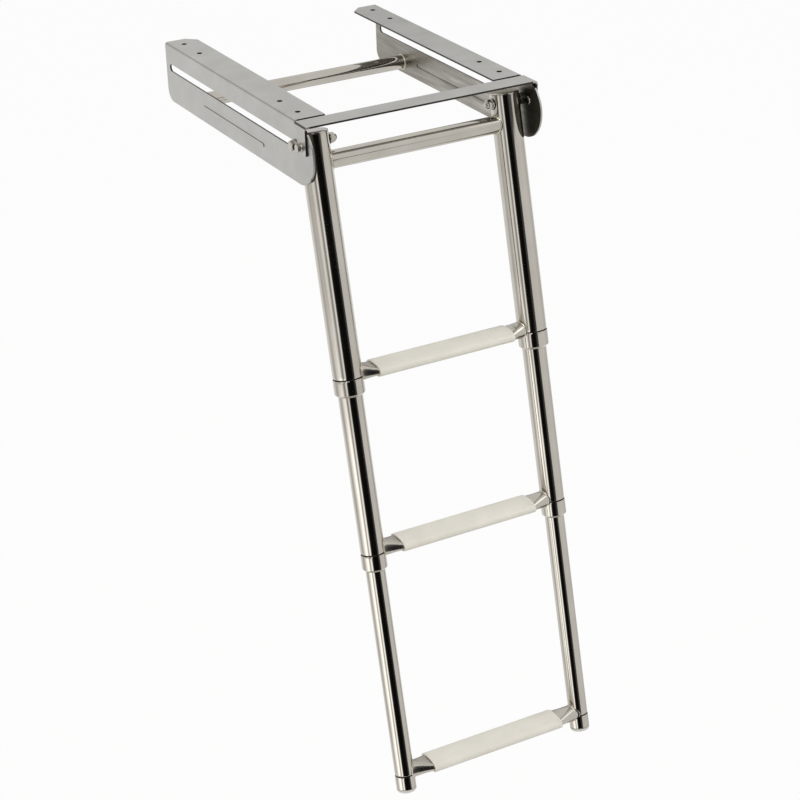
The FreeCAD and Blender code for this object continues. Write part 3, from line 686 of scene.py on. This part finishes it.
# Rear cross tube: a thinner polished tube between the rails, welded to the inside of both webs.
web_inside = 0.133
rear_low, rear_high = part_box("rear_cross_tube")
rear_centre = (rear_low + rear_high) / 2
rear_tube = bar_across("rear_bar", 0.008, rear_centre, web_inside)
bpy.ops.object.shade_smooth_by_angle(angle=math.radians(28))
place_and_fix(rear_tube, "mount_frame", tube_steel, ("rear_cross_tube",))
for side, sign in SIDES:
    bpy.ops.object.select_all(action="DESELECT")
    bpy.ops.mesh.primitive_torus_add(major_radius=0.0084, minor_radius=0.0011, major_segments=120,
                                     minor_segments=12, rotation=(0, math.radians(90), 0))
    bead = bpy.context.object
    bead.name = "rear_bar_weld_" + side
    bpy.ops.object.shade_smooth()
    bpy.ops.object.transform_apply(location=True, rotation=True, scale=True)
    for vertex in bead.data.vertices:
        around = math.atan2(vertex.co.z, vertex.co.y)
        middle = Vector((0, math.cos(around), math.sin(around))) * 0.0084
        vertex.co = middle + (vertex.co - middle) * (1 + 0.10 * math.sin(30 * around))
    place_and_fix(bead, "mount_frame", weld_steel, (),
                  Vector((sign * web_inside, rear_centre.y, rear_centre.z)))


# Fasteners: stainless hexagon bolts, plain washers and locknuts with a nylon ring. The heads are
# chamfered all round, and the threads are rolled.
def bright_fastener():
    made, tree, place, shader = new_material("bright stainless fastener")
    shader.inputs["Metallic"].default_value = 1
    marks = add(tree, "ShaderNodeTexNoise", {"Scale": 700, "Detail": 4}, {"Vector": place})
    tone = ramp(tree, marks.outputs["Fac"], ((0.3, "A09C94"), (0.7, "BDB9B0")))
    tree.links.new(tone.outputs["Color"], shader.inputs["Base Color"])
    satin = ramp(tree, marks.outputs["Fac"], ((0.3, 0.05), (0.7, 0.13)))
    tree.links.new(satin.outputs["Color"], shader.inputs["Roughness"])
    bump = add(tree, "ShaderNodeBump", {"Strength": 0.15, "Distance": 0.00005}, {"Height": marks.outputs["Fac"]})
    tree.links.new(bump.outputs["Normal"], shader.inputs["Normal"])
    return made


def nylon_ring():
    made, tree, place, shader = new_material("natural nylon ring")
    marks = add(tree, "ShaderNodeTexNoise", {"Scale": 900, "Detail": 2}, {"Vector": place})
    tone = ramp(tree, marks.outputs["Fac"], ((0.3, "D4D2CA"), (0.7, "E0DED7")))
    tree.links.new(tone.outputs["Color"], shader.inputs["Base Color"])
    shader.inputs["Roughness"].default_value = 0.4
    return made


fastener_steel = bright_fastener()
nylon = nylon_ring()


def hexagon(name, flats, low, high, chamfer):
    """A six-sided block whose outer end, at the low side, is chamfered round."""
    bpy.ops.object.select_all(action="DESELECT")
    bpy.ops.mesh.primitive_cylinder_add(vertices=6, radius=flats / math.sqrt(3), depth=high - low,
                                        location=(0, 0, (low + high) / 2), rotation=(0, 0, math.radians(30)))
    piece = bpy.context.object
    piece.name = name
    bpy.ops.object.transform_apply(location=True, rotation=True, scale=True)
    corner = flats / math.sqrt(3)
    slope = math.tan(math.radians(30))
    rim = flats / 2 * 0.95
    rounding = turned(name + "_chamfer", (
        (0, low), (rim, low), (corner * 1.1, low + (corner * 1.1 - rim) * slope),
        (corner * 1.1, high - (chamfer and (corner * 1.1 - rim) * slope)), (rim, high) if chamfer else (corner * 1.1, high),
        (0, high)))
    bpy.ops.object.select_all(action="DESELECT")
    piece.select_set(True)
    bpy.context.view_layer.objects.active = piece
    cut = piece.modifiers.new("chamfer", "BOOLEAN")
    cut.operation = "INTERSECT"
    cut.object = rounding
    bpy.ops.object.modifier_apply(modifier=cut.name)
    bpy.data.objects.remove(rounding)
    bpy.ops.object.shade_smooth_by_angle(angle=math.radians(20))
    return piece


def threaded(radius, low, high, pitch):
    """Outline points of a thread's crests and roots between two heights."""
    points = []
    turns = max(int((high - low) / pitch), 1)
    for turn in range(turns):
        start = low + turn * pitch
        points += [(radius - 0.6 * pitch, start), (radius, start + pitch / 2)]
    points += [(radius - 0.6 * pitch, low + turns * pitch), (radius - 0.8 * pitch, high)]
    return points


def joined(pieces, name):
    """Several solids of one fastener as one piece."""
    bpy.ops.object.select_all(action="DESELECT")
    for piece in pieces:
        piece.select_set(True)
    bpy.context.view_layer.objects.active = pieces[0]
    bpy.ops.object.join()
    pieces[0].name = name
    return pieces[0]


bolt_flats = 0.010
bolt_head = 0.004
shank_radius = 0.003
neck_radius = 0.004
washer_radius = 0.00625
washer_sheet = 0.0016
play = 0.00015
nut_height = 0.006
nylon_height = 0.002
web_outside = 0.135


def washer_outline(radius, low, high):
    return ((shank_radius, low), (radius - edge, low), (radius, low + edge), (radius, high - edge),
            (radius - edge, high), (shank_radius, high))


# Pivot bolts: pushed in from outside through the slot and the upper tube, each held by a locknut on
# the tube's inner side. A spacer keeps the tube off the rail, and its neck runs in the slot.
for side, sign in SIDES:
    def on_pivot(piece, node, outside=0.0, material=fastener_steel):
        at = Vector((sign * outside, pivot.y, pivot.z))
        nodes = (node,) if node else ()
        return place_and_fix(piece, "pivot_bolts", material, nodes, at,
                             (0, -sign * math.radians(90), 0))

    head_seat = web_outside + play + washer_sheet
    tube_outer = upright + upper_radius
    tube_inner = upright - upper_radius
    nut_seat = tube_inner - play - washer_sheet
    shank_end = head_seat - nut_seat + nut_height + 0.0015
    head = hexagon("bolt_head", bolt_flats, -bolt_head, 0, False)
    shank_outline = [(0, -0.0005), (shank_radius, -0.0005), (shank_radius, shank_end - 0.010)]
    shank_outline += threaded(shank_radius, shank_end - 0.010, shank_end, 0.001)
    shank_outline.append((0, shank_end))
    shank = turned("bolt_shank", shank_outline, 48)
    bolt = joined([head, shank], "pivot_bolt_" + side)
    on_pivot(bolt, side + "_pivot_bolt", head_seat)
    on_pivot(turned("outer_washer_" + side, washer_outline(washer_radius, 0, washer_sheet), 64),
             side + "_outer_washer", head_seat)
    length = 0.133 - play - tube_outer - play
    spacer = turned("necked_spacer_" + side, (
        (shank_radius, -0.002 - 2 * play), (neck_radius, -0.002 - 2 * play), (neck_radius, 0),
        (washer_radius - edge, 0), (washer_radius, edge), (washer_radius, length - edge),
        (washer_radius - edge, length), (shank_radius, length)), 64)
    on_pivot(spacer, side + "_pivot_spacer", 0.133 - play)
    on_pivot(turned("inner_washer_" + side, washer_outline(washer_radius, 0, washer_sheet), 64),
             side + "_inner_washer", tube_inner - play)
    block = hexagon("nut_block", bolt_flats, 0, nut_height - nylon_height, False)
    band_radius = bolt_flats / 2 - 0.0005
    band = turned("nut_band", (
        (shank_radius + 0.0001, nut_height - nylon_height - 0.0003),
        (band_radius, nut_height - nylon_height - 0.0003),
        (band_radius, nut_height - 0.0008),
        (band_radius - 0.0008, nut_height),
        (band_radius - 0.0014, nut_height),
        (band_radius - 0.0014, nut_height - 0.0006),
        (shank_radius + 0.0001, nut_height - 0.0006)), 64)
    on_pivot(joined([block, band], "pivot_nut_" + side), side + "_pivot_nut", nut_seat)
    ring = turned("nut_nylon_" + side, (
        (shank_radius + 0.00005, nut_height - 0.0008), (band_radius - 0.0015, nut_height - 0.0008),
        (band_radius - 0.0015, nut_height - 0.0003), (shank_radius + 0.00005, nut_height - 0.0003)), 64)
    on_pivot(ring, "", nut_seat, nylon)


# Strap bolts: small hexagon bolts with a washer that hold each bent-down end of the strap to its
# rail, clinched flat inside the web.
strap_outside = 0.137
strap_bolt_drop = 0.024
for side, sign in SIDES:
    head = hexagon("strap_bolt_head", 0.008, -0.0046, -0.001, False)
    stem = turned("strap_bolt_stem", (
        (0, -0.001), (0.005 - edge, -0.001), (0.005, -0.001 + edge), (0.005, 0), (0.0025, 0),
        (0.0025, 0.004), (0.0038, 0.004), (0.0040, 0.0044), (0.0034, 0.0050), (0.0018, 0.0052), (0, 0.0052)), 48)
    bolt = joined([head, stem], "strap_bolt_" + side)
    place_and_fix(bolt, "mount_frame", fastener_steel, (side + "_strap_bolt",),
                  Vector((sign * strap_outside, 0, -strap_bolt_drop)), (0, -sign * math.radians(90), 0))


# Studio: white paper all round, seen by the camera and in the steel alike. A ring of studio wall
# stands round the ladder for its reflections only: light grey, a softbox to the left, the dark room
# behind the camera, and a black card close to the ladder's left that widens the band on that side.
scene = bpy.context.scene
scene.view_settings.view_transform = "Standard"
world = bpy.data.worlds.new("white studio")
scene.world = world
world.use_nodes = True
tree = world.node_tree
tree.nodes.clear()
ray = add(tree, "ShaderNodeLightPath")
seen_or_mirrored = add(tree, "ShaderNodeMath", {"operation": "MAXIMUM"},
                       {0: ray.outputs["Is Camera Ray"], 1: ray.outputs["Is Glossy Ray"]})
shown = add(tree, "ShaderNodeMath", {"operation": "MAXIMUM"},
            {0: seen_or_mirrored.outputs[0], 1: ray.outputs["Is Transmission Ray"]})
white = add(tree, "ShaderNodeBackground", {"Color": (1, 1, 1, 1), "Strength": 1.0})
fill = add(tree, "ShaderNodeBackground", {"Color": (1, 1, 1, 1), "Strength": 0.75})
both = add(tree, "ShaderNodeMixShader", {}, {0: shown.outputs[0], 1: fill.outputs[0], 2: white.outputs[0]})
add(tree, "ShaderNodeOutputWorld", links={"Surface": both.outputs[0]})

# the floor, well below the hanging ladder, takes a faint shadow
bpy.ops.object.select_all(action="DESELECT")
bpy.ops.mesh.primitive_plane_add(size=30, location=(0, 0, -1.55))
floor = bpy.context.object
floor.name = "studio_floor"
paper, tree, place, shader = new_material("white studio paper")
shader.inputs["Base Color"].default_value = linear("E8E7E4")
shader.inputs["Roughness"].default_value = 0.9
shader.inputs["Specular IOR Level"].default_value = 0
ray = add(tree, "ShaderNodeLightPath")
seen_or_mirrored = add(tree, "ShaderNodeMath", {"operation": "MAXIMUM"},
                       {0: ray.outputs["Is Camera Ray"], 1: ray.outputs["Is Glossy Ray"]})
shown = add(tree, "ShaderNodeMath", {"operation": "MAXIMUM"},
            {0: seen_or_mirrored.outputs[0], 1: ray.outputs["Is Transmission Ray"]})
share = add(tree, "ShaderNodeMath", {"operation": "MULTIPLY", 1: 0.93}, {0: shown.outputs[0]})
white = add(tree, "ShaderNodeEmission", {"Color": (1, 1, 1, 1), "Strength": 1.0})
both = add(tree, "ShaderNodeMixShader", {}, {0: share.outputs[0], 1: shader.outputs[0], 2: white.outputs[0]})
tree.links.new(both.outputs[0], tree.nodes["Material Output"].inputs["Surface"])
floor.data.materials.append(paper)


def reflected_only(piece, material):
    """A stage piece that the steel mirrors and that neither the camera nor the light meets."""
    piece.data.materials.append(material)
    piece.visible_camera = False
    piece.visible_diffuse = False
    piece.visible_transmission = False
    piece.visible_shadow = False


def bearing(degrees):
    """A direction seen from the ladder, from straight in front of it and to the right, on the ramp."""
    return degrees / 360 + 0.5


bpy.ops.object.select_all(action="DESELECT")
bpy.ops.mesh.primitive_cylinder_add(vertices=90, radius=1.3, depth=1.85, end_fill_type="NOTHING",
                                    location=(0, 0, -0.62))
walls = bpy.context.object
walls.name = "studio_walls"
wall_paint = bpy.data.materials.new("studio walls")
wall_paint.use_nodes = True
tree = wall_paint.node_tree
tree.nodes.clear()
place = add(tree, "ShaderNodeSeparateXYZ", links={0: add(tree, "ShaderNodeTexCoord").outputs["Object"]})
forward = add(tree, "ShaderNodeMath", {"operation": "MULTIPLY", 1: -1.0}, {0: place.outputs["Y"]})
around = add(tree, "ShaderNodeMath", {"operation": "ARCTAN2"}, {0: place.outputs["X"], 1: forward.outputs[0]})
turn = add(tree, "ShaderNodeMath", {"operation": "MULTIPLY_ADD", 1: 1 / math.tau, 2: 0.5}, {0: around.outputs[0]})
panels = ramp(tree, turn.outputs[0], (
    (bearing(-180), 0.53), (bearing(-145), 0.56), (bearing(-122), 0.35), (bearing(-106), 0.50),
    (bearing(-90), 0.72), (bearing(-80), 1.00), (bearing(-72), 1.00), (bearing(-65), 0.55),
    (bearing(-58), 0.24), (bearing(-51), 0.80), (bearing(-44), 0.90), (bearing(-39), 0.05),
    (bearing(-33), 0.005),
    (bearing(0), 0.005), (bearing(6), 0.47), (bearing(60), 0.50), (bearing(90), 0.40),
    (bearing(104), 0.40), (bearing(118), 0.62), (bearing(135), 0.45), (bearing(152), 0.22),
    (bearing(166), 0.45)))
# a dark picture rail to the right of the camera, which only the level tubes mirror
height = add(tree, "ShaderNodeMapRange", {"From Min": 0.62, "From Max": 0.76}, {"Value": place.outputs["Z"]})
rail_line = ramp(tree, height.outputs["Result"], ((0.0, 1.0), (0.25, 0.12), (0.75, 0.12), (1.0, 1.0)))
rail_part = ramp(tree, turn.outputs[0], ((bearing(6), 0.0), (bearing(9), 1.0), (bearing(24), 1.0), (bearing(30), 0.15),
                                         (bearing(60), 0.0)))
shelf = add(tree, "ShaderNodeMix", {"data_type": "RGBA", "A": (1, 1, 1, 1)}, {"Factor": rail_part.outputs["Color"]})
tree.links.new(rail_line.outputs["Color"], shelf.inputs["B"])
wall_tone = add(tree, "ShaderNodeMix", {"data_type": "RGBA", "blend_type": "MULTIPLY", "Factor": 1.0})
tree.links.new(panels.outputs["Color"], wall_tone.inputs["A"])
tree.links.new(shelf.outputs["Result"], wall_tone.inputs["B"])
# the softbox on the left hangs low, so the upper tubes mirror less of it than the lower ones
low_part = add(tree, "ShaderNodeMapRange", {"From Min": 0.16, "From Max": -0.06, "To Min": 0.64, "To Max": 1.2},
               {"Value": place.outputs["Z"]})
left_part = ramp(tree, turn.outputs[0], ((bearing(-112), 0.0), (bearing(-96), 1.0), (bearing(-50), 1.0),
                                         (bearing(-42), 0.0)))
falloff = add(tree, "ShaderNodeMix", {"data_type": "RGBA", "A": (1, 1, 1, 1)}, {"Factor": left_part.outputs["Color"]})
tree.links.new(low_part.outputs["Result"], falloff.inputs["B"])
wall_light = add(tree, "ShaderNodeMix", {"data_type": "RGBA", "blend_type": "MULTIPLY", "Factor": 1.0})
tree.links.new(wall_tone.outputs["Result"], wall_light.inputs["A"])
tree.links.new(falloff.outputs["Result"], wall_light.inputs["B"])
glow = add(tree, "ShaderNodeEmission", {"Strength": 2.0}, {"Color": wall_light.outputs["Result"]})
add(tree, "ShaderNodeOutputMaterial", links={"Surface": glow.outputs[0]})
reflected_only(walls, wall_paint)

bpy.ops.object.select_all(action="DESELECT")
bpy.ops.mesh.primitive_plane_add(size=1, location=(-0.06, -0.62, -0.35))
card = bpy.context.object
card.name = "black_card"
card.scale = (0.50, 1.5, 1)
card.rotation_euler.x = math.radians(90)
bpy.ops.object.transform_apply(location=True, rotation=True, scale=True)
black, tree, place, shader = new_material("black card")
across = add(tree, "ShaderNodeSeparateXYZ", links={0: place})
faded = ramp(tree, across.outputs["X"], ((0.0, 0.004), (0.11, 0.09), (0.19, 0.13)))
tree.links.new(faded.outputs["Color"], shader.inputs["Emission Color"])
shader.inputs["Emission Strength"].default_value = 1
shader.inputs["Base Color"].default_value = linear("0B0B0B")
shader.inputs["Roughness"].default_value = 0.9
shader.inputs["Specular IOR Level"].default_value = 0
reflected_only(card, black)

for name, at, size, watts in (("key_softbox", (-2.2, -1.6, 2.4), 1.6, 42), ("fill_softbox", (2.4, -1.2, 1.4), 1.8, 16)):
    lamp_data = bpy.data.lights.new(name, "AREA")
    lamp_data.shape = "SQUARE"
    lamp_data.size = size
    lamp_data.energy = watts
    lamp = bpy.data.objects.new(name, lamp_data)
    scene.collection.objects.link(lamp)
    lamp.location = at
    lamp.rotation_euler = (Vector((0, 0, -0.3)) - Vector(at)).to_track_quat("-Z", "Y").to_euler()
